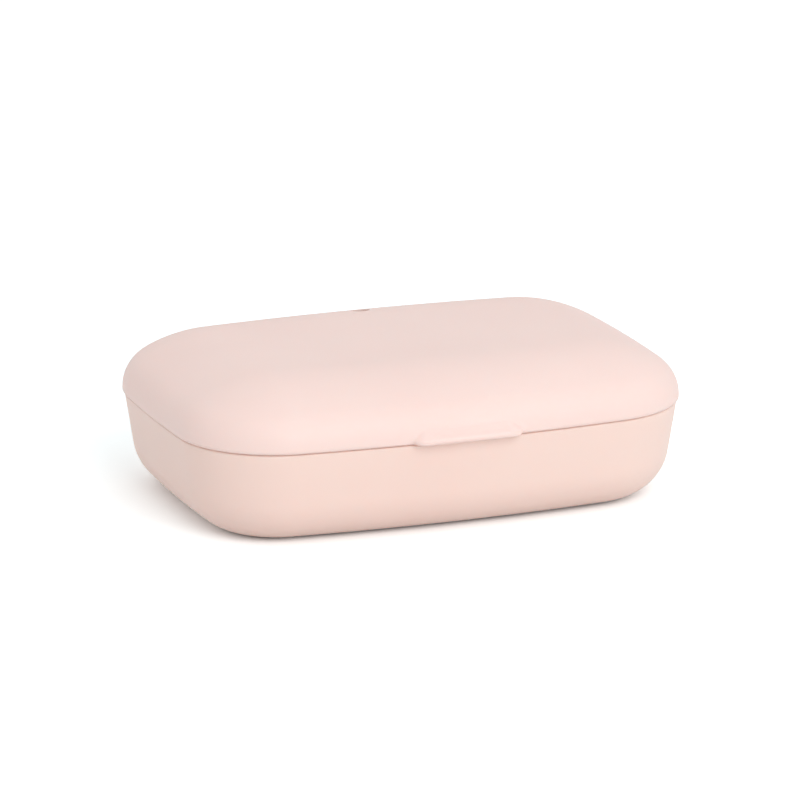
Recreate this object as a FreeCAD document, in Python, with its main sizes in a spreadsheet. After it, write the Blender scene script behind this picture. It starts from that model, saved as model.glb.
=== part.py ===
"""Travel soap box: base shell, hinged domed lid, hinge pin and lift-out drain tray.

Lengths are in millimetres and angles in degrees. The box stands on Z = 0 with its
length along X, its front towards -Y and its hinge at +Y.
"""
import FreeCAD
import Part
import Sketcher
import math
import os
import re

# Each size: alias, value, meaning.
SIZES = (
    ("length", 120.0, "lid length at the rim"),
    ("width", 85.0, "lid width at the rim"),
    ("height", 36.0, "overall height"),
    ("long_side_radius", 390.0, "plan bow of the long sides"),
    ("short_side_radius", 380.0, "plan bow of the short sides"),
    ("corner_radius", 23.2, "plan corner radius at the lid rim"),
    ("base_height", 22.2, "height of the base's land"),
    ("parting_gap", 0.3, "shadow gap between the land and the lid rim"),
    ("lid_overhang", 0.5, "lid rim beyond the base rim"),
    ("wall", 2.0, "wall of both shells"),
    ("draft_angle", 8.8, "lean of the base's sides"),
    ("foot_radius", 12.2, "rounding from the sides to the underside"),
    ("foot_recess", 0.5, "depth of the recess under the base"),
    ("foot_ring", 5.0, "width of the standing ring around the recess"),
    ("cavity_draft", 2.5, "lean of the base's inner sides"),
    ("cavity_chamfer", 7.0, "slope between the inner sides and the floor"),
    ("rim_band", 0.86, "straight band above the lid rim"),
    ("shoulder_share", 0.69, "lid shoulder radius as a share of the dome's height"),
    ("crown_corner", 0.7, "plan corner radius left at the lid's flat top"),
    ("edge_chamfer", 0.35, "chamfer of the rim edges"),
    ("seat_width", 0.7, "width of the ledge the lid rim rests on"),
    ("rim_clearance", 0.3, "side clearance between spigot and lid"),
    ("spigot_height", 3.0, "spigot height above the base's land"),
    ("spigot_lean", 0.5, "lean of the spigot's outer face over its height"),
    ("spigot_top", 1.0, "thickness of the spigot at its top"),
    ("knuckle_radius", 2.0, "outer radius of the hinge knuckles"),
    ("knuckle_width", 7.0, "length of one hinge knuckle"),
    ("knuckle_gap", 0.25, "gap between neighbouring knuckles"),
    ("knuckle_relief", 0.3, "clearance around a turning knuckle"),
    ("hinge_setback", 0.2, "hinge axis behind the lid's rear face"),
    ("bracket_drop", 6.5, "height of the base's hinge brackets"),
    ("bracket_turn", 38.0, "turn of the lid's shoulder at which its hinge brackets end"),
    ("pin_radius", 0.8, "hinge pin radius"),
    ("pin_running", 0.05, "running clearance of the lid's knuckles on the pin"),
    ("pin_recess", 0.2, "pin end inside the outer knuckle's face"),
    ("pin_chamfer", 0.2, "chamfer on the pin ends"),
    ("tab_width", 26.0, "thumb tab width"),
    ("tab_reach", 2.2, "thumb tab beyond the lid's front face"),
    ("tab_nose", 0.8, "nose radius of the thumb tab"),
    ("tab_corner", 3.0, "plan corner radius of the thumb tab"),
    ("tab_turn", 60.0, "turn of the nose above level before the blend begins"),
    ("tab_blend", 9.3, "blend radius from the thumb tab to the lid"),
    ("vent_radius", 2.2, "vent hole radius"),
    ("vent_setback", 17.0, "vent hole from the lid's rear face"),
    ("bead_length", 20.0, "snap bead length"),
    ("bead_radius", 0.8, "snap bead radius"),
    ("bead_proud", 0.65, "snap bead beyond the spigot's face"),
    ("bead_clearance", 0.2, "clearance around the snap bead in its groove"),
    ("tray_clearance", 0.5, "tray edge to the base's inner side"),
    ("tray_thickness", 1.6, "tray plate thickness"),
    ("tray_edge", 0.5, "chamfer of the tray's top edge"),
    ("leg_height", 3.2, "tray plate above the base's floor"),
    ("leg_row", 18.0, "tray legs from the middle line"),
    ("slot_margin", 16.5, "outer drain slots from the tray's ends"),
    ("slot_width", 3.4, "drain slot width"),
    ("slot_end", 8.5, "drain slot ends from the tray's long edges"),
    ("rib_width", 1.8, "soap rib width"),
    ("rib_height", 1.4, "soap rib height above the plate"),
    ("notch_radius", 8.0, "finger notch radius at the tray's ends"),
)
SLOT_COUNT = 7

# Formulas shared by the pieces that fit together.
LID_RIM = "(base_height + parting_gap)"
DOME_HEIGHT = f"(height - {LID_RIM} - rim_band)"
SHOULDER = f"(shoulder_share * {DOME_HEIGHT})"
CROWN_REACH = "(corner_radius - crown_corner)"
SPIGOT_TOP = "(base_height + spigot_height)"
SPIGOT_INSET = "(wall + rim_clearance)"
CAVITY_INSET = f"({SPIGOT_INSET} + spigot_lean + spigot_top)"
CAVITY_FOOT = f"({CAVITY_INSET} + ({SPIGOT_TOP} - wall) * tan(cavity_draft))"
FLOOR_INSET = f"({CAVITY_FOOT} + cavity_chamfer)"
FOOT_CORNER = "(lid_overhang + base_height * tan(draft_angle))"
FOOT_INSET = f"({FOOT_CORNER} + foot_radius / tan(45 + draft_angle / 2))"
FLOOR_JOIN = f"(max({FOOT_INSET}; {FLOOR_INSET}) + wall / 2)"
HINGE_BACK = "(width / 2 + hinge_setback)"
HINGE_HEIGHT = "(base_height + parting_gap / 2)"
KNUCKLE_PITCH = "(knuckle_width + knuckle_gap)"
HINGE_LENGTH = "(5 * knuckle_width + 4 * knuckle_gap)"
RELIEF_RADIUS = "(knuckle_radius + knuckle_relief)"
BRACKET_INSET = f"({SHOULDER} * (1 - cos(bracket_turn)) + 0.6 * wall)"
BRACKET_TOP = f"({LID_RIM} + rim_band + {SHOULDER} * sin(bracket_turn))"
BEAD_HEIGHT = "(base_height + 0.6 * spigot_height)"
BEAD_INSET = f"({SPIGOT_INSET} + 0.6 * spigot_lean + bead_radius - bead_proud)"
PLATE_BOTTOM = "(wall + leg_height)"
PLATE_TOP = "(wall + leg_height + tray_thickness)"
TRAY_INSET = f"({FLOOR_INSET} - leg_height * (1 + tan(cavity_draft)) + tray_clearance)"
SLOT_LENGTH = f"(width - 2 * {TRAY_INSET} - 2 * slot_end)"
SLOT_PITCH = f"((length - 2 * {TRAY_INSET} - 2 * slot_margin) / {SLOT_COUNT - 1})"

UP = FreeCAD.Vector(0, 0, 1)
ALIASES = {alias for alias, _, _ in SIZES}

doc = FreeCAD.newDocument("travel_soap_box")
sheet = doc.addObject("Spreadsheet::Sheet", "sizes")
for row, (alias, number, meaning) in enumerate(SIZES, start=1):
    sheet.set(f"A{row}", alias)
    sheet.set(f"B{row}", str(number))
    sheet.setAlias(f"B{row}", alias)
    sheet.set(f"C{row}", meaning)
doc.recompute()


def sized(formula):
    """Return the formula with every size alias pointed at the sheet."""
    return re.sub(
        r"[a-z_]+",
        lambda word: f"sizes.{word.group()}" if word.group() in ALIASES else word.group(),
        formula,
    )


def number_of(formula):
    """Return the present value of a formula."""
    result = sheet.evalExpression(sized(formula))
    return float(getattr(result, "Value", result))


def origin_part(body, role):
    """Return the body's own origin plane or axis with this role."""
    return next(item for item in body.Origin.OriginFeatures if item.Role == role)


def new_body(name):
    """Add an empty body whose label is the node name."""
    body = doc.addObject("PartDesign::Body", name)
    body.Label = name
    return body


def new_sketch(body, name, role, offset="0"):
    """Add a sketch on an origin plane, moved along the plane's normal."""
    sketch = body.newObject("Sketcher::SketchObject", name)
    sketch.AttachmentSupport = [(origin_part(body, role), "")]
    sketch.MapMode = "FlatFace"
    sketch.setExpression("AttachmentOffset.Base.z", sized(offset))
    return sketch


def dimension(sketch, kind, places, name, formula):
    """Add a named driving dimension bound to a formula."""
    index = sketch.addConstraint(Sketcher.Constraint(kind, *places, number_of(formula)))
    sketch.renameConstraint(index, name)
    sketch.setExpression(f"Constraints.{name}", sized(formula))


def pin_point(sketch, edge, end, name, across, along):
    """Fix one point of an edge by its two signed distances from the origin."""
    dimension(sketch, "DistanceX", (-1, 1, edge, end), f"{name}_across", across)
    dimension(sketch, "DistanceY", (-1, 1, edge, end), f"{name}_along", along)


def outline_sketch(body, name, inset, height):
    """Draw the box outline: eight tangent arcs, parallel to the lid rim at an inset."""
    sketch = new_sketch(body, name, "XY_Plane", height)
    corner = f"max(corner_radius - ({inset}); 0.3)"
    long_radius = number_of(f"long_side_radius - ({inset})")
    short_radius = number_of(f"short_side_radius - ({inset})")
    radius = number_of(corner)
    rear = FreeCAD.Vector(0, number_of("width / 2 - long_side_radius"), 0)
    right = FreeCAD.Vector(number_of("length / 2 - short_side_radius"), 0, 0)
    span = rear - right
    share = (short_radius - radius) ** 2 - (long_radius - radius) ** 2 + span.Length ** 2
    share /= 2 * span.Length
    rise = math.sqrt((short_radius - radius) ** 2 - share ** 2)
    along = span.normalize()
    middle = right + along * share + FreeCAD.Vector(-along.y, along.x, 0) * rise
    turn_long = math.atan2(middle.y - rear.y, middle.x - rear.x)
    turn_short = math.atan2(middle.y - right.y, middle.x - right.x)
    half = math.pi
    arcs = (
        (right.x, 0, short_radius, -turn_short, turn_short),
        (middle.x, middle.y, radius, turn_short, turn_long),
        (0, rear.y, long_radius, turn_long, half - turn_long),
        (-middle.x, middle.y, radius, half - turn_long, half - turn_short),
        (-right.x, 0, short_radius, half - turn_short, half + turn_short),
        (-middle.x, -middle.y, radius, half + turn_short, half + turn_long),
        (0, -rear.y, long_radius, half + turn_long, 2 * half - turn_long),
        (middle.x, -middle.y, radius, 2 * half - turn_long, 2 * half - turn_short),
    )
    for x, y, arc_radius, start, end in arcs:
        circle = Part.Circle(FreeCAD.Vector(x, y, 0), UP, arc_radius)
        sketch.addGeometry(Part.ArcOfCircle(circle, start, end), False)
    for index in range(8):
        sketch.addConstraint(Sketcher.Constraint("Tangent", index, 2, (index + 1) % 8, 1))
    for first, second in ((0, 4), (2, 6), (1, 3), (1, 5), (1, 7)):
        sketch.addConstraint(Sketcher.Constraint("Equal", first, second))
    for index, axis in ((0, -1), (4, -1), (2, -2), (6, -2)):
        sketch.addConstraint(Sketcher.Constraint("PointOnObject", index, 3, axis))
    dimension(sketch, "Radius", (0,), "short_side", f"short_side_radius - ({inset})")
    dimension(sketch, "Radius", (2,), "long_side", f"long_side_radius - ({inset})")
    dimension(sketch, "Radius", (1,), "corner", corner)
    dimension(sketch, "DistanceX", (0, 3, -1, 1), "right_centre", "short_side_radius - length / 2")
    dimension(sketch, "DistanceX", (-1, 1, 4, 3), "left_centre", "short_side_radius - length / 2")
    dimension(sketch, "DistanceY", (2, 3, -1, 1), "rear_centre", "long_side_radius - width / 2")
    dimension(sketch, "DistanceY", (-1, 1, 6, 3), "front_centre", "long_side_radius - width / 2")
    return sketch


def polygon_sketch(body, name, role, offset, corners):
    """Draw a closed polygon through corners given as pairs of formulas."""
    sketch = new_sketch(body, name, role, offset)
    points = [FreeCAD.Vector(number_of(across), number_of(along), 0) for across, along in corners]
    count = len(points)
    for index in range(count):
        sketch.addGeometry(Part.LineSegment(points[index], points[(index + 1) % count]), False)
    for index in range(count):
        sketch.addConstraint(Sketcher.Constraint("Coincident", index, 2, (index + 1) % count, 1))
    for index, (across, along) in enumerate(corners):
        pin_point(sketch, index, 1, f"corner_{index}", across, along)
    return sketch


def wall_sketch(body, name, corners):
    """Draw a closed wall section at the front: each corner an inset, a height and a rounding."""
    sketch = new_sketch(body, name, "YZ_Plane")
    places = [(f"{inset} - width / 2", height) for inset, height, _ in corners]
    points = [FreeCAD.Vector(number_of(across), number_of(along), 0) for across, along in places]
    count = len(points)
    leave = []
    reach = []
    arcs = {}
    for index, (_, _, rounding) in enumerate(corners):
        point = points[index]
        back = (points[index - 1] - point).normalize()
        ahead = (points[(index + 1) % count] - point).normalize()
        if rounding is None:
            leave.append(point)
            reach.append(point)
            continue
        radius = number_of(rounding)
        half = back.getAngle(ahead) / 2
        reach.append(point + back * (radius / math.tan(half)))
        leave.append(point + ahead * (radius / math.tan(half)))
        centre = point + (back + ahead).normalize() * (radius / math.sin(half))
        ends = [reach[index] - centre, leave[index] - centre]
        turns_left = back.cross(ahead).z < 0
        start, end = ends if turns_left else reversed(ends)
        arc = (centre, radius, math.atan2(start.y, start.x), math.atan2(end.y, end.x))
        arcs[index] = (arc, (1, 2) if turns_left else (2, 1))
    for index in range(count):
        sketch.addGeometry(Part.LineSegment(leave[index], reach[(index + 1) % count]), False)
    for index, (across, along) in enumerate(places):
        before = (index - 1) % count
        if index not in arcs:
            sketch.addConstraint(Sketcher.Constraint("Coincident", before, 2, index, 1))
            pin_point(sketch, index, 1, f"corner_{index}", across, along)
            continue
        (centre, radius, start, end), (entry, leaving) = arcs[index]
        arc = sketch.addGeometry(Part.ArcOfCircle(Part.Circle(centre, UP, radius), start, end), False)
        sharp = sketch.addGeometry(Part.Point(points[index]), True)
        sketch.addConstraint(Sketcher.Constraint("Tangent", before, 2, arc, entry))
        sketch.addConstraint(Sketcher.Constraint("Tangent", arc, leaving, index, 1))
        sketch.addConstraint(Sketcher.Constraint("PointOnObject", sharp, 1, before))
        sketch.addConstraint(Sketcher.Constraint("PointOnObject", sharp, 1, index))
        dimension(sketch, "Radius", (arc,), f"rounding_{index}", corners[index][2])
        pin_point(sketch, sharp, 1, f"corner_{index}", across, along)
    return sketch


def dome_sketch(body, name):
    """Draw the lid's wall section: shoulder and crown arcs outside, straight bands inside.

    The bands are chords of construction arcs that keep the wall's thickness.
    """
    sketch = new_sketch(body, name, "YZ_Plane")
    rim = number_of(LID_RIM)
    band = number_of(f"{LID_RIM} + rim_band")
    top = number_of("height")
    wall = number_of("wall")
    outer = number_of("-width / 2")
    chamfer = number_of("edge_chamfer")
    shoulder = number_of(SHOULDER)
    reach = number_of(CROWN_REACH)
    rise = number_of(DOME_HEIGHT)
    crown = (reach ** 2 - 2 * reach * shoulder + rise ** 2) / (2 * (rise - shoulder))
    end = outer + number_of(f"{CROWN_REACH} + 0.6 * crown_corner")
    low = FreeCAD.Vector(outer + shoulder, band, 0)
    high = FreeCAD.Vector(outer + reach, top - crown, 0)
    turn = math.atan2(low.y - high.y, low.x - high.x)

    def inside(centre, radius, angle):
        """Return the point on an inner arc at an angle."""
        return centre + FreeCAD.Vector(math.cos(angle), math.sin(angle), 0) * (radius - wall)

    points = (
        FreeCAD.Vector(outer + chamfer, rim, 0),
        FreeCAD.Vector(outer, rim + chamfer, 0),
        FreeCAD.Vector(outer, band, 0),
        FreeCAD.Vector(outer + reach, top, 0),
        FreeCAD.Vector(end, top, 0),
        FreeCAD.Vector(end, top - wall, 0),
        FreeCAD.Vector(outer + reach, top - wall, 0),
        inside(high, crown, (math.pi / 2 + turn) / 2),
        inside(high, crown, turn),
        inside(low, shoulder, (math.pi + turn) / 2),
        FreeCAD.Vector(outer + wall, band, 0),
        FreeCAD.Vector(outer + wall, rim, 0),
    )
    sides = ((0, 1), (1, 2), (3, 4), (4, 5), (5, 6), (6, 7), (7, 8), (8, 9), (9, 10), (10, 11), (11, 0))
    for first, second in sides:
        sketch.addGeometry(Part.LineSegment(points[first], points[second]), False)
    for centre, radius, start, finish, hidden in (
        (low, shoulder, turn, math.pi, False),
        (high, crown, math.pi / 2, turn, False),
        (high, crown - wall, math.pi / 2, turn, True),
        (low, shoulder - wall, turn, math.pi, True),
    ):
        circle = Part.Circle(centre, UP, radius)
        sketch.addGeometry(Part.ArcOfCircle(circle, start, finish), hidden)
    for first, first_end, second, second_end in (
        (1, 2, 11, 2), (11, 1, 12, 2), (12, 1, 2, 1), (13, 2, 14, 1)
    ):
        sketch.addConstraint(Sketcher.Constraint("Tangent", first, first_end, second, second_end))
    for first in (0, 2, 3, 4, 5, 6, 7, 8, 9, 10):
        sketch.addConstraint(Sketcher.Constraint("Coincident", first, 2, (first + 1) % 11, 1))
    for place, line in ((1, 5), (2, 7)):
        sketch.addConstraint(Sketcher.Constraint("Coincident", 13, place, line, 1))
    sketch.addConstraint(Sketcher.Constraint("Coincident", 14, 2, 9, 1))
    for line, arc in ((6, 13), (8, 14)):
        sketch.addConstraint(Sketcher.Constraint("PointOnObject", line, 1, arc))
        sketch.addConstraint(Sketcher.Constraint("Equal", line - 1, line))
    for inner, outer_arc in ((13, 12), (14, 11)):
        sketch.addConstraint(Sketcher.Constraint("Coincident", inner, 3, outer_arc, 3))
    for line in (1, 3, 9):
        sketch.addConstraint(Sketcher.Constraint("Vertical", line))
    for line in (2, 4, 10):
        sketch.addConstraint(Sketcher.Constraint("Horizontal", line))
    pin_point(sketch, 0, 1, "rim", "edge_chamfer - width / 2", LID_RIM)
    pin_point(sketch, 0, 2, "chamfer", "-width / 2", f"{LID_RIM} + edge_chamfer")
    dimension(sketch, "DistanceY", (-1, 1, 1, 2), "band", f"{LID_RIM} + rim_band")
    dimension(sketch, "Radius", (11,), "shoulder", SHOULDER)
    dimension(sketch, "DistanceX", (-1, 1, 12, 3), "crown_middle", f"{CROWN_REACH} - width / 2")
    pin_point(sketch, 2, 2, "top_end", f"{CROWN_REACH} + 0.6 * crown_corner - width / 2", "height")
    pin_point(sketch, 5, 1, "ceiling", f"{CROWN_REACH} - width / 2", "height - wall")
    dimension(sketch, "DistanceY", (-1, 1, 9, 1), "inner_band", f"{LID_RIM} + rim_band")
    return sketch


def circle_sketch(body, name, role, offset, radius, centres):
    """Draw equal circles at centres given as pairs of formulas."""
    sketch = new_sketch(body, name, role, offset)
    for index, (across, along) in enumerate(centres):
        centre = FreeCAD.Vector(number_of(across), number_of(along), 0)
        sketch.addGeometry(Part.Circle(centre, UP, number_of(radius)), False)
        pin_point(sketch, index, 3, f"centre_{index}", across, along)
        dimension(sketch, "Radius", (index,), f"radius_{index}", radius)
    return sketch


def slot_sketch(body, name, offset, across, slot_width, slot_length):
    """Draw one round-ended slot that runs along Y."""
    sketch = new_sketch(body, name, "XY_Plane", offset)
    reach = f"({slot_length} - {slot_width}) / 2"
    x = number_of(across)
    y = number_of(reach)
    radius = number_of(f"{slot_width} / 2")
    rear_circle = Part.Circle(FreeCAD.Vector(x, y, 0), UP, radius)
    front_circle = Part.Circle(FreeCAD.Vector(x, -y, 0), UP, radius)
    left = (FreeCAD.Vector(x - radius, y, 0), FreeCAD.Vector(x - radius, -y, 0))
    right = (FreeCAD.Vector(x + radius, -y, 0), FreeCAD.Vector(x + radius, y, 0))
    sketch.addGeometry(Part.ArcOfCircle(rear_circle, 0, math.pi), False)
    sketch.addGeometry(Part.LineSegment(*left), False)
    sketch.addGeometry(Part.ArcOfCircle(front_circle, math.pi, 2 * math.pi), False)
    sketch.addGeometry(Part.LineSegment(*right), False)
    for index in range(4):
        sketch.addConstraint(Sketcher.Constraint("Tangent", index, 2, (index + 1) % 4, 1))
    sketch.addConstraint(Sketcher.Constraint("Vertical", 1))
    dimension(sketch, "Radius", (0,), "half_width", f"{slot_width} / 2")
    pin_point(sketch, 0, 3, "rear", across, reach)
    dimension(sketch, "DistanceY", (-1, 1, 2, 3), "front_along", f"-({reach})")
    return sketch


def tab_sketch(body, name, offset, back):
    """Draw the thumb tab's section from its nose to a back edge inside the lid wall.

    The nose arc runs into a wide concave arc that dies into the lid wall. A short
    construction line under the back edge serves as the turning axis.
    """
    sketch = new_sketch(body, name, "YZ_Plane", offset)
    nose_across = "-(width / 2 + tab_reach - tab_nose)"
    nose_along = f"{LID_RIM} + tab_nose"
    hollow_across = f"{nose_across} - (tab_nose + tab_blend) * cos(tab_turn)"
    hollow_along = f"{nose_along} + (tab_nose + tab_blend) * sin(tab_turn)"
    nose = FreeCAD.Vector(number_of(nose_across), number_of(nose_along), 0)
    hollow = FreeCAD.Vector(number_of(hollow_across), number_of(hollow_along), 0)
    blend = number_of("tab_blend")
    edge = number_of(back)
    rim = number_of(LID_RIM)
    turn = math.pi - math.radians(number_of("tab_turn"))
    finish = -math.acos((edge - hollow.x) / blend)
    top = hollow.y + blend * math.sin(finish)
    nose_circle = Part.Circle(nose, UP, number_of("tab_nose"))
    hollow_circle = Part.Circle(hollow, UP, blend)
    heel = FreeCAD.Vector(edge, rim, 0)
    sketch.addGeometry(Part.ArcOfCircle(nose_circle, turn, 1.5 * math.pi), False)
    sketch.addGeometry(Part.ArcOfCircle(hollow_circle, turn - math.pi, finish), False)
    sketch.addGeometry(Part.LineSegment(FreeCAD.Vector(edge, top, 0), heel), False)
    sketch.addGeometry(Part.LineSegment(heel, FreeCAD.Vector(nose.x, rim, 0)), False)
    sketch.addGeometry(Part.LineSegment(heel, heel - FreeCAD.Vector(0, 1, 0)), True)
    sketch.addConstraint(Sketcher.Constraint("Tangent", 0, 1, 1, 1))
    sketch.addConstraint(Sketcher.Constraint("Coincident", 1, 2, 2, 1))
    sketch.addConstraint(Sketcher.Constraint("Coincident", 2, 2, 3, 1))
    sketch.addConstraint(Sketcher.Constraint("Tangent", 3, 2, 0, 2))
    sketch.addConstraint(Sketcher.Constraint("Horizontal", 3))
    sketch.addConstraint(Sketcher.Constraint("Vertical", 2))
    sketch.addConstraint(Sketcher.Constraint("Coincident", 4, 1, 2, 2))
    sketch.addConstraint(Sketcher.Constraint("Vertical", 4))
    sketch.addConstraint(Sketcher.Constraint("Distance", 4, 1.0))
    dimension(sketch, "Radius", (0,), "nose", "tab_nose")
    pin_point(sketch, 0, 3, "nose_centre", nose_across, nose_along)
    pin_point(sketch, 1, 3, "hollow_centre", hollow_across, hollow_along)
    dimension(sketch, "DistanceX", (-1, 1, 2, 2), "back", back)
    return sketch


def rib_sketch(body, name, across):
    """Draw the round-topped section of one soap rib, let into the plate."""
    sketch = new_sketch(body, name, "XZ_Plane")
    root = f"{PLATE_TOP} - 0.5 * tray_thickness"
    crown = f"{PLATE_TOP} + rib_height - rib_width / 2"
    x = number_of(across)
    low = number_of(root)
    high = number_of(crown)
    radius = number_of("rib_width / 2")
    left = (FreeCAD.Vector(x - radius, high, 0), FreeCAD.Vector(x - radius, low, 0))
    right = (FreeCAD.Vector(x + radius, low, 0), FreeCAD.Vector(x + radius, high, 0))
    crown_circle = Part.Circle(FreeCAD.Vector(x, high, 0), UP, radius)
    sketch.addGeometry(Part.ArcOfCircle(crown_circle, 0, math.pi), False)
    sketch.addGeometry(Part.LineSegment(*left), False)
    sketch.addGeometry(Part.LineSegment(left[1], right[0]), False)
    sketch.addGeometry(Part.LineSegment(*right), False)
    sketch.addConstraint(Sketcher.Constraint("Tangent", 0, 2, 1, 1))
    sketch.addConstraint(Sketcher.Constraint("Coincident", 1, 2, 2, 1))
    sketch.addConstraint(Sketcher.Constraint("Coincident", 2, 2, 3, 1))
    sketch.addConstraint(Sketcher.Constraint("Tangent", 3, 2, 0, 1))
    sketch.addConstraint(Sketcher.Constraint("Vertical", 1))
    sketch.addConstraint(Sketcher.Constraint("Vertical", 3))
    sketch.addConstraint(Sketcher.Constraint("Horizontal", 2))
    dimension(sketch, "Radius", (0,), "half_width", "rib_width / 2")
    pin_point(sketch, 0, 3, "crown", across, crown)
    dimension(sketch, "DistanceY", (-1, 1, 2, 1), "root", root)
    return sketch


def extrude(body, kind, name, sketch, length, taper="0", both_ways=False, backwards=False):
    """Add a pad or pocket bound to a length formula and a taper formula."""
    feature = body.newObject(f"PartDesign::{kind}", name)
    feature.Profile = sketch
    feature.SideType = "Symmetric" if both_ways else "One side"
    feature.Reversed = backwards
    feature.setExpression("Length", sized(length))
    feature.setExpression("TaperAngle", sized(taper))
    body.Tip = feature
    return feature


def sweep(body, name, section):
    """Carry a wall section once around the box outline."""
    path = outline_sketch(body, f"{name}_path", "0", LID_RIM)
    feature = body.newObject("PartDesign::AdditivePipe", name)
    feature.Profile = section
    feature.Spine = (path, [f"Edge{index}" for index in range(1, 9)])
    body.Tip = feature
    return feature


def dress(body, kind, name, size, formula, keep):
    """Round or chamfer the edges of the body's last feature that the test keeps."""
    doc.recompute()
    base = body.Tip
    edges = [f"Edge{index}" for index, edge in enumerate(base.Shape.Edges, start=1) if keep(edge)]
    feature = body.newObject(f"PartDesign::{kind}", name)
    feature.Base = (base, edges)
    feature.setExpression(size, sized(formula))
    body.Tip = feature
    return feature


def row_along_x(body, name, originals, length, count):
    """Repeat features along X over a length."""
    feature = body.newObject("PartDesign::LinearPattern", name)
    feature.Originals = originals
    feature.Direction = (origin_part(body, "X_Axis"), [""])
    feature.setExpression("Length", sized(length))
    feature.Occurrences = count
    body.Tip = feature
    return feature


def mirror_in_x(body, name, originals):
    """Repeat features mirrored left to right."""
    feature = body.newObject("PartDesign::Mirrored", name)
    feature.Originals = originals
    feature.MirrorPlane = (origin_part(body, "YZ_Plane"), [""])
    body.Tip = feature
    return feature


def level_edge(formula):
    """Return a test for edges that lie wholly at one height."""
    height = number_of(formula)

    def keep(edge):
        box = edge.BoundBox
        return abs(box.ZMin - height) < 0.001 and abs(box.ZMax - height) < 0.001

    return keep


def end_edge(formula):
    """Return a test for edges that lie wholly at one distance to either side."""
    reach = number_of(formula)

    def keep(edge):
        box = edge.BoundBox
        return abs(abs(box.Center.x) - reach) < 0.001 and box.XLength < 0.001

    return keep


def build_base():
    """Build the base shell with its seat, spigot, snap bead and three knuckles."""
    body = new_body("base_shell")
    corners = (
        (FLOOR_JOIN, "0", None),
        (FOOT_CORNER, "0", "foot_radius"),
        ("lid_overhang + edge_chamfer * tan(draft_angle)", "base_height - edge_chamfer", None),
        ("lid_overhang + edge_chamfer", "base_height", None),
        ("wall - seat_width", "base_height", None),
        ("wall - seat_width", LID_RIM, None),
        (SPIGOT_INSET, LID_RIM, None),
        (f"{SPIGOT_INSET} + spigot_lean", f"{SPIGOT_TOP} - edge_chamfer", None),
        (f"{SPIGOT_INSET} + spigot_lean + edge_chamfer", SPIGOT_TOP, None),
        (CAVITY_INSET, SPIGOT_TOP, None),
        (f"{CAVITY_FOOT} - cavity_chamfer * tan(cavity_draft)", "wall + cavity_chamfer", None),
        (FLOOR_INSET, "wall", None),
        (FLOOR_JOIN, "wall", None),
    )
    sweep(body, "side_wall", wall_sketch(body, "side_section", corners))
    floor = outline_sketch(body, "floor_outline", f"{FLOOR_JOIN} - wall / 4", "0")
    extrude(body, "Pad", "floor", floor, "wall")
    recess = outline_sketch(body, "recess_outline", f"{FOOT_INSET} + foot_ring", "0")
    extrude(body, "Pocket", "recess", recess, "foot_recess", backwards=True)

    axis = ((HINGE_BACK, HINGE_HEIGHT),)
    relief = circle_sketch(body, "relief_circle", "YZ_Plane", f"-{KNUCKLE_PITCH}", RELIEF_RADIUS, axis)
    cut = extrude(body, "Pocket", "relief", relief, "knuckle_width + 2 * knuckle_gap", both_ways=True)
    mirror_in_x(body, "relief_pair", [cut])
    bracket_foot = "lid_overhang + bracket_drop * tan(draft_angle) + wall / 2"
    corners = (
        (f"{HINGE_BACK} + knuckle_radius", HINGE_HEIGHT),
        (f"{HINGE_BACK} + knuckle_radius", f"{HINGE_HEIGHT} - 1.3 * knuckle_radius"),
        (f"width / 2 - ({bracket_foot})", "base_height - bracket_drop"),
        ("width / 2 - (lid_overhang + wall / 2)", "base_height"),
        (HINGE_BACK, "base_height"),
        (HINGE_BACK, HINGE_HEIGHT),
    )
    profile = polygon_sketch(body, "bracket_profile", "YZ_Plane", f"-2 * {KNUCKLE_PITCH}", corners)
    bracket = extrude(body, "Pad", "bracket", profile, "knuckle_width", both_ways=True)
    ring = circle_sketch(body, "barrel_circle", "YZ_Plane", f"-2 * {KNUCKLE_PITCH}", "knuckle_radius", axis)
    barrel = extrude(body, "Pad", "barrel", ring, "knuckle_width", both_ways=True)
    row_along_x(body, "knuckle_row", [bracket, barrel], f"4 * {KNUCKLE_PITCH}", 3)
    bore = circle_sketch(body, "bore_circle", "YZ_Plane", "0", "pin_radius", axis)
    extrude(body, "Pocket", "pin_bore", bore, f"{HINGE_LENGTH} + 1", both_ways=True)

    bead_axis = ((f"-(width / 2 - {BEAD_INSET})", BEAD_HEIGHT),)
    bead = circle_sketch(body, "bead_circle", "YZ_Plane", "0", "bead_radius", bead_axis)
    extrude(body, "Pad", "snap_bead", bead, "bead_length", both_ways=True)
    return body


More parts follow.
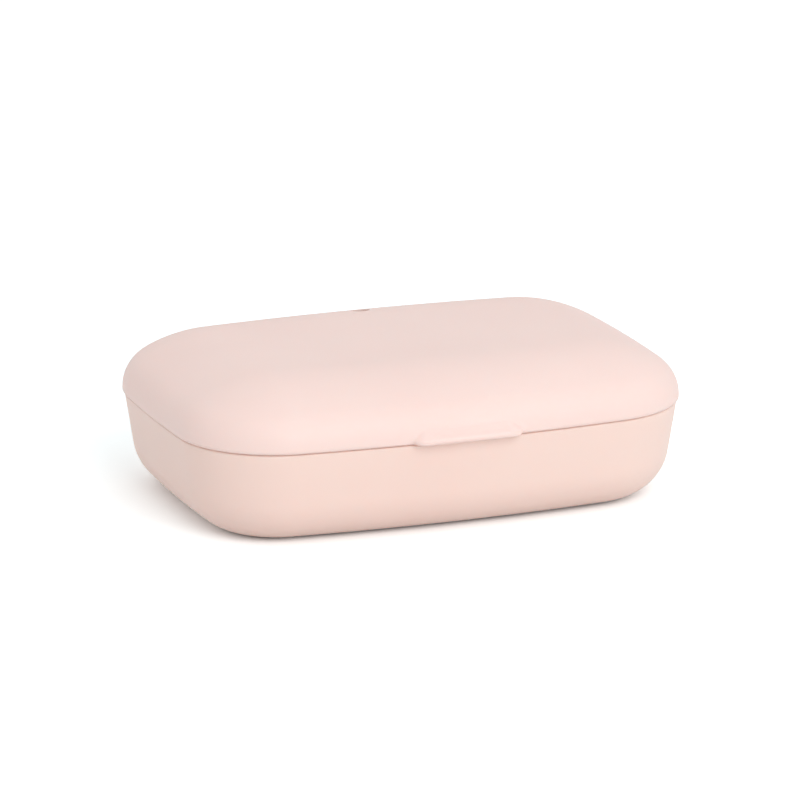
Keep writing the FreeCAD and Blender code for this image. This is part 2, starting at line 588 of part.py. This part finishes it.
def build_lid():
    """Build the domed lid with its thumb tab, vent, snap groove and two knuckles."""
    body = new_body("lid_shell")
    sweep(body, "dome", dome_sketch(body, "dome_section"))
    crown = outline_sketch(body, "crown_outline", f"{CROWN_REACH} + 0.3 * crown_corner", "height")
    extrude(body, "Pad", "crown", crown, "wall", backwards=True)

    middle = tab_sketch(body, "tab_middle_section", "0", "-(width / 2 - 0.65 * wall)")
    extrude(body, "Pad", "tab_middle", middle, "tab_width - 2 * tab_corner", both_ways=True)
    end_place = "tab_width / 2 - tab_corner"
    end = tab_sketch(body, "tab_end_section", end_place, "-(width / 2 + tab_reach - tab_corner)")
    turn = body.newObject("PartDesign::Revolution", "tab_end")
    turn.Profile = end
    turn.ReferenceAxis = (end, ["Axis0"])
    turn.Midplane = True
    turn.Angle = 180
    body.Tip = turn
    mirror_in_x(body, "tab_ends", [turn])

    vent_place = (("0", "width / 2 - vent_setback"),)
    vent = circle_sketch(body, "vent_circle", "XY_Plane", "height + 1", "vent_radius", vent_place)
    extrude(body, "Pocket", "vent", vent, "1 + 3 * wall")

    notch_corners = (
        ("width / 2 - wall - 1", f"{LID_RIM} - 1"),
        ("width / 2 + 1", f"{LID_RIM} - 1"),
        ("width / 2 + 1", f"{HINGE_HEIGHT} + {RELIEF_RADIUS}"),
        ("width / 2 - wall - 1", f"{HINGE_HEIGHT} + {RELIEF_RADIUS}"),
    )
    notch = polygon_sketch(body, "notch_profile", "YZ_Plane", f"-2 * {KNUCKLE_PITCH}", notch_corners)
    cut = extrude(body, "Pocket", "notch", notch, "knuckle_width + 2 * knuckle_gap", both_ways=True)
    row_along_x(body, "notch_row", [cut], f"4 * {KNUCKLE_PITCH}", 3)
    corners = (
        (f"{HINGE_BACK} + knuckle_radius", HINGE_HEIGHT),
        (f"{HINGE_BACK} + knuckle_radius", f"{HINGE_HEIGHT} + 1.1 * knuckle_radius"),
        (f"width / 2 - {BRACKET_INSET}", BRACKET_TOP),
        ("width / 2 - 0.6 * wall", LID_RIM),
        (HINGE_BACK, LID_RIM),
        (HINGE_BACK, HINGE_HEIGHT),
    )
    profile = polygon_sketch(body, "lid_bracket_profile", "YZ_Plane", f"-{KNUCKLE_PITCH}", corners)
    bracket = extrude(body, "Pad", "lid_bracket", profile, "knuckle_width", both_ways=True)
    axis = ((HINGE_BACK, HINGE_HEIGHT),)
    ring = circle_sketch(body, "lid_barrel_circle", "YZ_Plane", f"-{KNUCKLE_PITCH}", "knuckle_radius", axis)
    barrel = extrude(body, "Pad", "lid_barrel", ring, "knuckle_width", both_ways=True)
    mirror_in_x(body, "lid_knuckles", [bracket, barrel])
    bore = circle_sketch(body, "lid_bore_circle", "YZ_Plane", "0", "pin_radius + pin_running", axis)
    extrude(body, "Pocket", "lid_bore", bore, HINGE_LENGTH, both_ways=True)

    groove_axis = ((f"-(width / 2 - {BEAD_INSET})", BEAD_HEIGHT),)
    groove_radius = "bead_radius + bead_clearance"
    groove = circle_sketch(body, "groove_circle", "YZ_Plane", "0", groove_radius, groove_axis)
    extrude(body, "Pocket", "snap_groove", groove, "bead_length + 2 * bead_clearance", both_ways=True)
    return body


def build_pin():
    """Build the hinge pin."""
    body = new_body("hinge_pin")
    axis = ((HINGE_BACK, HINGE_HEIGHT),)
    section = circle_sketch(body, "pin_circle", "YZ_Plane", "0", "pin_radius", axis)
    extrude(body, "Pad", "pin", section, f"{HINGE_LENGTH} - 2 * pin_recess", both_ways=True)
    ends = end_edge(f"{HINGE_LENGTH} / 2 - pin_recess")
    dress(body, "Chamfer", "pin_ends", "Size", "pin_chamfer", ends)
    return body


def build_tray():
    """Build the slotted drain tray with its ribs, legs and finger notches."""
    body = new_body("drain_tray")
    edge = outline_sketch(body, "tray_outline", TRAY_INSET, PLATE_BOTTOM)
    extrude(body, "Pad", "plate", edge, "tray_thickness")
    edge_size = "min(tray_edge; 0.6 * tray_thickness)"
    dress(body, "Chamfer", "plate_edge", "Size", edge_size, level_edge(PLATE_TOP))
    first_slot = f"-{(SLOT_COUNT - 1) / 2} * {SLOT_PITCH}"
    slot = slot_sketch(body, "slot_outline", PLATE_TOP, first_slot, "slot_width", SLOT_LENGTH)
    cut = extrude(body, "Pocket", "slot", slot, "2 * tray_thickness")
    row_along_x(body, "slot_row", [cut], f"{SLOT_COUNT - 1} * {SLOT_PITCH}", SLOT_COUNT)
    outer_rib = f"{(SLOT_COUNT - 2) / 2} * {SLOT_PITCH}"
    rib = rib_sketch(body, "rib_section", f"-{outer_rib}")
    bar = extrude(body, "Pad", "rib", rib, SLOT_LENGTH, both_ways=True)
    row_along_x(body, "rib_row", [bar], f"{SLOT_COUNT - 2} * {SLOT_PITCH}", SLOT_COUNT - 1)
    leg_places = (
        (outer_rib, "leg_row"),
        (f"-{outer_rib}", "leg_row"),
        (f"-{outer_rib}", "-leg_row"),
        (outer_rib, "-leg_row"),
    )
    leg_radius = f"0.43 * ({SLOT_PITCH} - slot_width)"
    legs = circle_sketch(body, "leg_circles", "XY_Plane", PLATE_BOTTOM, leg_radius, leg_places)
    extrude(body, "Pad", "legs", legs, "leg_height", backwards=True)
    notch_place = f"length / 2 - {TRAY_INSET} + 0.25 * notch_radius"
    notch_places = ((notch_place, "0"), (f"-({notch_place})", "0"))
    notches = circle_sketch(
        body, "notch_circles", "XY_Plane", f"{PLATE_TOP} + 1", "notch_radius", notch_places
    )
    extrude(body, "Pocket", "finger_notches", notches, "2 * tray_thickness + 1")
    return body


pieces = (build_base(), build_lid(), build_pin(), build_tray())
doc.recompute()
for item in doc.Objects:
    if "Invalid" in item.State or "Error" in item.State:
        raise RuntimeError(f"{item.Name} did not build: {item.State}")
os.makedirs("parts", exist_ok=True)
for piece in pieces:
    if piece.Shape.isNull() or not piece.Shape.isValid() or len(piece.Shape.Solids) != 1:
        raise RuntimeError(f"{piece.Label} is not one valid solid")
    piece.Shape.exportStep(os.path.join("parts", f"{piece.Label}.step"))
    print(f"{piece.Label}: {piece.Shape.Volume:.1f} mm3, {piece.Shape.BoundBox}")
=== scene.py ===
"""Looks of a travel soap box: moulded shells, hinge pin, drain tray and studio.

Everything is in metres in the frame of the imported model: +Z up, the front towards -Y.
"""

import logging
import math
from dataclasses import dataclass, field
from enum import Enum
from typing import Any

import bmesh
import bpy
from mathutils import Matrix, Vector


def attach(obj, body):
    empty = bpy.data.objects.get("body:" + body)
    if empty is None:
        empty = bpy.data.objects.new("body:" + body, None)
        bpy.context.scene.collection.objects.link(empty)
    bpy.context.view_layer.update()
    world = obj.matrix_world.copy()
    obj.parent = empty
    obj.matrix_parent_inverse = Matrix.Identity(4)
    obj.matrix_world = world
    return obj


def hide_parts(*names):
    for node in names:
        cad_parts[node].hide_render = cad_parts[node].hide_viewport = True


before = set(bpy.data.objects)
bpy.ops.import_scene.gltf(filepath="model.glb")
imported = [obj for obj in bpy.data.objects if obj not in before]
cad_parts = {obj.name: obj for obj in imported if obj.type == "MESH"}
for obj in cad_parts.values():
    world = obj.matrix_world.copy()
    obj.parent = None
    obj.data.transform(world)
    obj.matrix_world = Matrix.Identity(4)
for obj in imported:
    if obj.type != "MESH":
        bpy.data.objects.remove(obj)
LOG = logging.getLogger("soap_box")
MM = 0.001


class Coat(Enum):
    """The named finishes of the pieces."""

    BASE_PLASTIC = "base_moulded_polypropylene"
    LID_PLASTIC = "lid_moulded_polypropylene"
    TRAY_PLASTIC = "tray_moulded_polypropylene"
    PIN_STEEL = "drawn_stainless_steel"
    STUDIO_FLOOR = "studio_paper"


def linear(code: str) -> tuple[float, float, float, float]:
    """Turn an sRGB hex colour into linear light.

    Args:
        code: Six hex digits, with or without a leading hash.

    Returns:
        Red, green, blue and alpha as linear values.
    """
    digits = code.lstrip("#")
    channels = [int(digits[at:at + 2], 16) / 255 for at in (0, 2, 4)]
    light = [c / 12.92 if c <= 0.04045 else ((c + 0.055) / 1.055) ** 2.4 for c in channels]
    return (light[0], light[1], light[2], 1.0)


def add_node(
    tree: bpy.types.NodeTree, kind: str, links: dict[str | int, Any], **settings: Any
) -> bpy.types.Node:
    """Add a node with its settings and incoming links.

    Args:
        tree: The node tree that gets the node.
        kind: The node's type name.
        links: Input name or number to an output socket or to a plain value.
        settings: Attributes set on the node.

    Returns:
        The new node.
    """
    node = tree.nodes.new(kind)
    for name, value in settings.items():
        setattr(node, name, value)
    for name, value in links.items():
        if isinstance(value, bpy.types.NodeSocket):
            tree.links.new(value, node.inputs[name])
        else:
            node.inputs[name].default_value = value
    return node


def ramp_between(
    node: bpy.types.Node,
    low: tuple[float, ...],
    high: tuple[float, ...],
    span: tuple[float, float] = (0.0, 1.0),
) -> None:
    """Set the two ends of a colour ramp.

    Args:
        node: The colour ramp node.
        low: Linear colour at the low end.
        high: Linear colour at the high end.
        span: Places of the two ends on the ramp.
    """
    for stop, place, colour in zip(node.color_ramp.elements, span, (low, high)):
        stop.position = place
        stop.color = colour


def new_material(coat: Coat) -> tuple[bpy.types.Material, bpy.types.NodeTree]:
    """Start an empty node material.

    Args:
        coat: The finish that the material is for.

    Returns:
        The material and its emptied node tree.
    """
    material = bpy.data.materials.new(coat.value)
    material.use_nodes = True
    material.node_tree.nodes.clear()
    return material, material.node_tree


@dataclass(frozen=True)
class MouldedPolypropylene:
    """Injection-moulded polypropylene from a spark-eroded mould.

    The fine mould texture scatters light, so the eye sees a soft, powdery skin with a wide
    dim sheen and no mirror highlight, and faint clouding where the pigment flowed. Light also
    enters a little, which softens edges and gaps.
    """

    coat: Coat
    pale: str
    deep: str
    roughness_low: float = 0.50
    roughness_high: float = 0.60
    ior: float = 1.49
    noise_span: tuple[float, float] = (0.3, 0.7)
    cloud_mm: float = 34.0
    cloud_detail: float = 2.0
    cloud_contrast: float = 0.45
    grain_mm: float = 0.7
    grain_detail: float = 3.0
    grain_contrast: float = 0.6
    grain_depth_mm: float = 0.004
    grain_strength: float = 0.5
    glow_share: float = 0.4
    glow_mm: float = 1.2
    glow_reach: tuple[float, float, float] = (1.0, 0.75, 0.65)

    def noise(
        self, tree: bpy.types.NodeTree, size_mm: float, detail: float, contrast: float
    ) -> bpy.types.NodeSocket:
        """Add a noise of a real size, in the piece's own coordinates.

        Args:
            tree: The material's node tree.
            size_mm: Size of one patch.
            detail: Number of finer layers.
            contrast: Weight of the finer layers.

        Returns:
            The noise's value socket.
        """
        place = add_node(tree, "ShaderNodeTexCoord", {}).outputs["Object"]
        links = {
            "Vector": place,
            "Scale": 1 / (size_mm * MM),
            "Detail": detail,
            "Roughness": contrast,
        }
        return add_node(tree, "ShaderNodeTexNoise", links).outputs["Fac"]

    def build(self) -> bpy.types.Material:
        """Build the node material.

        Returns:
            The finished material.
        """
        material, tree = new_material(self.coat)
        cloud = self.noise(tree, self.cloud_mm, self.cloud_detail, self.cloud_contrast)
        tint = add_node(tree, "ShaderNodeValToRGB", {"Fac": cloud})
        ramp_between(tint, linear(self.deep), linear(self.pale), self.noise_span)
        # The real mould grit is about 0.05 mm; it is drawn coarser here so that it shows at all.
        grain = self.noise(tree, self.grain_mm, self.grain_detail, self.grain_contrast)
        gloss = add_node(
            tree,
            "ShaderNodeMapRange",
            {
                "Value": grain,
                "From Min": self.noise_span[0],
                "From Max": self.noise_span[1],
                "To Min": self.roughness_low,
                "To Max": self.roughness_high,
            },
        )
        relief = add_node(
            tree,
            "ShaderNodeBump",
            {
                "Height": grain,
                "Strength": self.grain_strength,
                "Distance": self.grain_depth_mm * MM,
            },
        )
        skin = add_node(
            tree,
            "ShaderNodeBsdfPrincipled",
            {
                "Base Color": tint.outputs["Color"],
                "Roughness": gloss.outputs["Result"],
                "Normal": relief.outputs["Normal"],
                "IOR": self.ior,
                "Subsurface Weight": self.glow_share,
                "Subsurface Radius": self.glow_reach,
                "Subsurface Scale": self.glow_mm * MM,
            },
        )
        add_node(tree, "ShaderNodeOutputMaterial", {"Surface": skin.outputs["BSDF"]})
        return material


@dataclass(frozen=True)
class DrawnSteel:
    """Drawn stainless steel wire.

    Drawing leaves fine lines along the wire, so the eye sees a bright streak broken lengthwise.
    """

    coat: Coat = Coat.PIN_STEEL
    bright: str = "C9CBCC"
    dull: str = "A9ABAD"
    roughness_low: float = 0.22
    roughness_high: float = 0.40
    line_mm: float = 0.12
    line_length_mm: float = 9.0
    line_detail: float = 2.0
    line_depth_mm: float = 0.004
    line_strength: float = 0.3

    def build(self) -> bpy.types.Material:
        """Build the node material.

        Returns:
            The finished material.
        """
        material, tree = new_material(self.coat)
        place = add_node(tree, "ShaderNodeTexCoord", {}).outputs["Object"]
        lengthwise = 1 / (self.line_length_mm * MM)
        crosswise = 1 / (self.line_mm * MM)
        along = add_node(
            tree,
            "ShaderNodeMapping",
            {"Vector": place, "Scale": (lengthwise, crosswise, crosswise)},
        )
        lines = add_node(
            tree,
            "ShaderNodeTexNoise",
            {"Vector": along.outputs["Vector"], "Scale": 1.0, "Detail": self.line_detail},
        ).outputs["Fac"]
        tint = add_node(tree, "ShaderNodeValToRGB", {"Fac": lines})
        ramp_between(tint, linear(self.dull), linear(self.bright))
        gloss = add_node(
            tree,
            "ShaderNodeMapRange",
            {"Value": lines, "To Min": self.roughness_low, "To Max": self.roughness_high},
        )
        relief = add_node(
            tree,
            "ShaderNodeBump",
            {
                "Height": lines,
                "Strength": self.line_strength,
                "Distance": self.line_depth_mm * MM,
            },
        )
        metal = add_node(
            tree,
            "ShaderNodeBsdfPrincipled",
            {
                "Base Color": tint.outputs["Color"],
                "Metallic": 1.0,
                "Roughness": gloss.outputs["Result"],
                "Normal": relief.outputs["Normal"],
            },
        )
        add_node(tree, "ShaderNodeOutputMaterial", {"Surface": metal.outputs["BSDF"]})
        return material


@dataclass(frozen=True)
class StudioPaper:
    """Matt white studio paper.

    It shows the eye an even white field in which only the soft contact shadow reads. The sheet
    that is seen, straight or in metal, is brighter than the one that lights the object.
    """

    coat: Coat = Coat.STUDIO_FLOOR
    white: str = "E6E6E6"
    seen_tint: str = "E0E6E7"
    seen_gain: float = 1.72
    seeing_rays: tuple[str, ...] = ("Is Camera Ray", "Is Glossy Ray", "Is Transmission Ray")

    def build(self) -> bpy.types.Material:
        """Build the node material.

        Returns:
            The finished material.
        """
        material, tree = new_material(self.coat)
        red, green, blue, alpha = linear(self.seen_tint)
        gain = self.seen_gain
        bright = (red * gain, green * gain, blue * gain, alpha)
        paper = add_node(tree, "ShaderNodeBsdfDiffuse", {"Color": linear(self.white)})
        seen = add_node(tree, "ShaderNodeBsdfDiffuse", {"Color": bright})
        path = add_node(tree, "ShaderNodeLightPath", {})
        shown, *others = (path.outputs[ray] for ray in self.seeing_rays)
        for other in others:
            either = add_node(tree, "ShaderNodeMath", {0: shown, 1: other}, operation="MAXIMUM")
            shown = either.outputs["Value"]
        sheet = add_node(
            tree,
            "ShaderNodeMixShader",
            {"Fac": shown, 1: paper.outputs["BSDF"], 2: seen.outputs["BSDF"]},
        )
        add_node(tree, "ShaderNodeOutputMaterial", {"Surface": sheet.outputs["Shader"]})
        return material


@dataclass(frozen=True)
class SoftRunOut:
    """The polished run-out in which the thumb tab's ends melt into the lid's skin.

    It lies on both sides, from inner_mm to outer_mm from the middle plane, and is in full effect
    from full_mm to fade_mm. back_mm and front_mm are distances towards the front.
    """

    inner_mm: float = 8.6
    full_mm: float = 10.6
    fade_mm: float = 15.0
    outer_mm: float = 18.0
    low_mm: float = 22.95
    high_mm: float = 31.0
    back_mm: float = 38.0
    front_mm: float = 44.6
    margin_mm: float = 3.0
    upward_weight: float = 0.6
    outward_least: float = 0.1
    step_mm: float = 0.5
    merge_mm: float = 0.01
    pull: float = 0.5
    rounds: int = 45

    def share(self, place: Vector) -> float:
        """Tell how far a point takes part.

        Args:
            place: A point of the lid, in metres.

        Returns:
            Nought outside the run-out and one in its middle.
        """
        height = place.z / MM
        if not self.low_mm <= height <= self.high_mm or -place.y / MM < self.back_mm:
            return 0.0
        across = abs(place.x) / MM
        rise = (across - self.inner_mm) / (self.full_mm - self.inner_mm)
        fall = (self.outer_mm - across) / (self.outer_mm - self.fade_mm)
        return max(0.0, min(1.0, rise, fall))

    def reached_by(self, face: bmesh.types.BMFace) -> bool:
        """Tell whether a face looks outward and reaches into the run-out.

        Args:
            face: A face of the lid.

        Returns:
            True for a face of the run-out.
        """
        across = [point.co.x / MM for point in face.verts]
        heights = [point.co.z / MM for point in face.verts]
        rearmost = -max(point.co.y for point in face.verts) / MM
        crossing = min(across) < 0 < max(across)
        nearest = 0.0 if crossing else min(abs(x) for x in across)
        outward = self.upward_weight * face.normal.z - face.normal.y
        return (
            outward > self.outward_least
            and max(abs(x) for x in across) > self.inner_mm
            and nearest < self.outer_mm
            and rearmost > self.back_mm - self.margin_mm
            and max(heights) > self.low_mm
            and min(heights) < self.high_mm
        )

    def cuts(self) -> list[tuple[Vector, float]]:
        """List the planes that divide the run-out evenly.

        Returns:
            Each plane's normal and its distance from the origin, in metres.
        """
        rows = (
            (Vector((-1, 0, 0)), self.inner_mm, self.outer_mm),
            (Vector((1, 0, 0)), self.inner_mm, self.outer_mm),
            (Vector((0, 0, 1)), self.low_mm, self.high_mm),
            (Vector((0, -1, 0)), self.back_mm, self.front_mm),
        )
        return [
            (normal, (start + index * self.step_mm) * MM)
            for normal, start, end in rows
            for index in range(int((end - start) / self.step_mm) + 1)
        ]

    def divide(self, solid: bmesh.types.BMesh) -> None:
        """Cut the run-out's faces finely, without moving any of them.

        Args:
            solid: The lid's mesh.
        """
        faces = [face for face in solid.faces if self.reached_by(face)]
        edges = dict.fromkeys(edge for face in faces for edge in face.edges)
        points = dict.fromkeys(point for face in faces for point in face.verts)
        part = [*points, *edges, *faces]
        for normal, distance in self.cuts():
            part = bmesh.ops.bisect_plane(
                solid,
                geom=part,
                dist=self.merge_mm * MM,
                plane_co=normal * distance,
                plane_no=normal,
            )["geom"]
        bmesh.ops.triangulate(solid, faces=[face for face in solid.faces if len(face.verts) > 3])
        solid.normal_update()

    def relax(self, solid: bmesh.types.BMesh) -> None:
        """Draw the run-out's points towards the middle of their neighbours.

        Args:
            solid: The lid's finely cut mesh.
        """
        faces = [face for face in solid.faces if self.reached_by(face)]
        shares = {point: self.share(point.co) for face in faces for point in face.verts}
        moving = {point: share for point, share in shares.items() if share > 0}
        for _ in range(self.rounds):
            aims = {}
            for point, share in moving.items():
                around = [edge.other_vert(point).co for edge in point.link_edges]
                middle = sum(around, Vector()) / len(around)
                aims[point] = point.co.lerp(middle, self.pull * share)
            for point, aim in aims.items():
                point.co = aim
        LOG.info("run-out: %d points relaxed", len(moving))

    def soften(self, mesh: bpy.types.Mesh) -> None:
        """Cut the skin finely at the tab's ends and relax it there.

        Args:
            mesh: The lid's welded mesh.
        """
        solid = bmesh.new()
        solid.from_mesh(mesh)
        self.divide(solid)
        self.relax(solid)
        solid.to_mesh(mesh)
        solid.free()


@dataclass
class RigidPiece:
    """One rigid piece: a smooth-skinned copy of its solid, with its own finish."""

    node: str
    body: str
    slot: str
    finish: MouldedPolypropylene | DrawnSteel
    crease_deg: float = 52.0
    weld_mm: float = 0.002
    run_out: SoftRunOut | None = None
    skin: bpy.types.Object | None = field(default=None, init=False)

    def build(self) -> None:
        """Copy the solid's mesh, weld its loose triangles and smooth its curved faces."""
        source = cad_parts[self.node]
        mesh = source.data.copy()
        mesh.transform(source.matrix_world)
        self.skin = bpy.data.objects.new(f"{self.node}_skin", mesh)
        bpy.context.scene.collection.objects.link(self.skin)
        bpy.ops.object.select_all(action="DESELECT")
        self.skin.select_set(True)
        bpy.context.view_layer.objects.active = self.skin
        bpy.ops.mesh.customdata_custom_splitnormals_clear()
        bpy.ops.object.mode_set(mode="EDIT")
        bpy.ops.mesh.select_all(action="SELECT")
        bpy.ops.mesh.remove_doubles(threshold=self.weld_mm * MM)
        bpy.ops.object.mode_set(mode="OBJECT")
        if self.run_out:
            self.run_out.soften(mesh)
        bpy.ops.object.shade_smooth_by_angle(
            angle=math.radians(self.crease_deg), keep_sharp_edges=False
        )
        even = self.skin.modifiers.new("even_shading", "WEIGHTED_NORMAL")
        even.keep_sharp = True
        bpy.ops.object.modifier_apply(modifier=even.name)

    def dress(self) -> None:
        """Give the piece its material and body, in place of the plain solid."""
        self.skin.data.materials.clear()
        self.skin.data.materials.append(self.finish.build())
        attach(self.skin, self.body)
        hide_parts(self.node)
        LOG.info("%s: %d faces", self.skin.name, len(self.skin.data.polygons))


def direction(azimuth_deg: float, elevation_deg: float) -> Vector:
    """Return the unit vector towards a viewer or lamp.

    Args:
        azimuth_deg: Turn to the right of straight in front.
        elevation_deg: Height above the horizon.

    Returns:
        The unit vector.
    """
    azimuth = math.radians(azimuth_deg)
    elevation = math.radians(elevation_deg)
    level = math.cos(elevation)
    return Vector((math.sin(azimuth) * level, -math.cos(azimuth) * level, math.sin(elevation)))


@dataclass(frozen=True)
class SoftBox:
    """One white rectangular studio lamp, aimed at the middle of the object."""

    name: str
    azimuth_deg: float
    elevation_deg: float
    distance: float
    width: float
    height: float
    watts: float

    def place(self, target: Vector) -> None:
        """Hang the lamp and turn it to the target.

        Args:
            target: The point that the lamp faces.
        """
        lamp = bpy.data.lights.new(self.name, "AREA")
        lamp.shape = "RECTANGLE"
        lamp.size = self.width
        lamp.size_y = self.height
        lamp.energy = self.watts
        holder = bpy.data.objects.new(self.name, lamp)
        bpy.context.scene.collection.objects.link(holder)
        towards = direction(self.azimuth_deg, self.elevation_deg)
        holder.location = target + towards * self.distance
        holder.rotation_euler = (target - holder.location).to_track_quat("-Z", "Y").to_euler()


KEY_LAMP = SoftBox(
    "key", azimuth_deg=6.0, elevation_deg=32.0, distance=1.6, width=0.9, height=0.9, watts=8.7
)
FILL_LAMP = SoftBox(
    "fill", azimuth_deg=60.0, elevation_deg=40.0, distance=1.8, width=1.2, height=1.2, watts=0.9
)


@dataclass
class Studio:
    """The floor, lamps, surrounding light and camera."""

    target: Vector = field(default_factory=lambda: Vector((0.03, 0.0, 20.57)) * MM)
    camera_azimuth_deg: float = -20.936
    camera_elevation_deg: float = 15.554
    camera_distance: float = 1.2585
    camera_nearest: float = 0.01
    camera_farthest: float = 50.0
    focal_pixels: float = 5518.1
    image_pixels: float = 800.0
    sensor_mm: float = 36.0
    floor_half: float = 3.0
    floor_drop_mm: float = 0.02
    sky: str = "FFFFFF"
    sky_strength: float = 0.755
    lamps: tuple[SoftBox, ...] = (KEY_LAMP, FILL_LAMP)

    def lay_floor(self) -> None:
        """Lay the paper sheet, a hair below the standing ring."""
        bpy.ops.object.select_all(action="DESELECT")
        bpy.ops.mesh.primitive_plane_add(size=2 * self.floor_half)
        sheet = bpy.context.object
        sheet.data.transform(Matrix.Translation((0, 0, -self.floor_drop_mm * MM)))
        sheet.name = "studio_sheet"
        sheet.data.materials.append(StudioPaper().build())

    def light(self) -> None:
        """Set the even surrounding light and hang the lamps."""
        world = bpy.data.worlds.new("studio_light")
        bpy.context.scene.world = world
        world.use_nodes = True
        sky = world.node_tree.nodes["Background"]
        sky.inputs["Color"].default_value = linear(self.sky)
        sky.inputs["Strength"].default_value = self.sky_strength
        for lamp in self.lamps:
            lamp.place(self.target)

    def set_camera(self) -> None:
        """Stand the camera at the photograph's viewing angle."""
        lens = bpy.data.cameras.new("camera")
        lens.sensor_fit = "HORIZONTAL"
        lens.sensor_width = self.sensor_mm
        lens.lens = self.focal_pixels / self.image_pixels * self.sensor_mm
        lens.clip_start = self.camera_nearest
        lens.clip_end = self.camera_farthest
        camera = bpy.data.objects.new("camera", lens)
        bpy.context.scene.collection.objects.link(camera)
        back = direction(self.camera_azimuth_deg, self.camera_elevation_deg)
        camera.location = self.target + back * self.camera_distance
        camera.rotation_euler = (-back).to_track_quat("-Z", "Y").to_euler()
        bpy.context.scene.camera = camera

    def build(self) -> None:
        """Set up the whole studio."""
        self.lay_floor()
        self.light()
        self.set_camera()
        bpy.context.scene.view_settings.view_transform = "Standard"


def soap_box() -> tuple[RigidPiece, ...]:
    """List the pieces with their finishes.

    Returns:
        The four pieces of the soap box.
    """
    return (
        RigidPiece(
            "base_shell", "base", "shell_plastic",
            MouldedPolypropylene(Coat.BASE_PLASTIC, pale="F9DED4", deep="F7DBD1"),
        ),
        RigidPiece(
            "lid_shell", "lid", "lid_plastic",
            MouldedPolypropylene(Coat.LID_PLASTIC, pale="F9DFD8", deep="F7DCD5"),
            crease_deg=75.0,
            run_out=SoftRunOut(),
        ),
        RigidPiece(
            "drain_tray", "tray", "tray_plastic",
            MouldedPolypropylene(Coat.TRAY_PLASTIC, pale="F6E0D7", deep="F4DCD3"),
        ),
        RigidPiece("hinge_pin", "base", "pin_steel", DrawnSteel()),
    )


def main() -> None:
    """Build the pieces and the studio."""
    logging.basicConfig(level=logging.INFO)
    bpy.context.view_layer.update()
    for piece in soap_box():
        piece.build()
        piece.dress()
    Studio().build()


if __name__ == "__main__":
    main()
